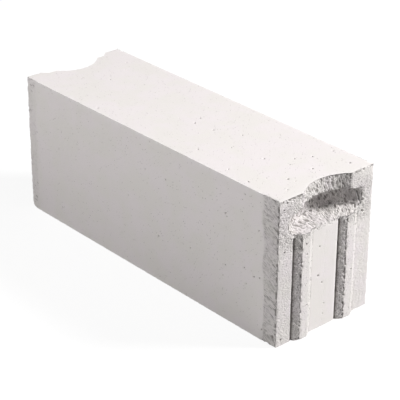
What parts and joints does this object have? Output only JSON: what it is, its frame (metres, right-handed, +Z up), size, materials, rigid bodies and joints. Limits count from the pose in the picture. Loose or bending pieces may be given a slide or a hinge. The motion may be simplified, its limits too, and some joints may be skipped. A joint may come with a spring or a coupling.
{
  "type": "aerated concrete block",
  "caption": "Light masonry block, sawn flat, with tongues on one end, matching grooves in the other, and a milled grip pocket at the top of each end for lifting it by hand.",
  "frame": {"origin": "middle of the bottom bed, taken without the tongues that stand out from the +X end", "axes": "+X along the block towards its tongues, +Y through the wall's thickness, +Z up towards the bed with the grip pockets"},
  "size_m": [0.632, 0.2, 0.25],
  "materials": {
    "aerated_concrete": "matt, porous, sawn and milled"
  },
  "bodies": {
    "root": {"block": "aerated_concrete"}
  },
  "joints": []
}
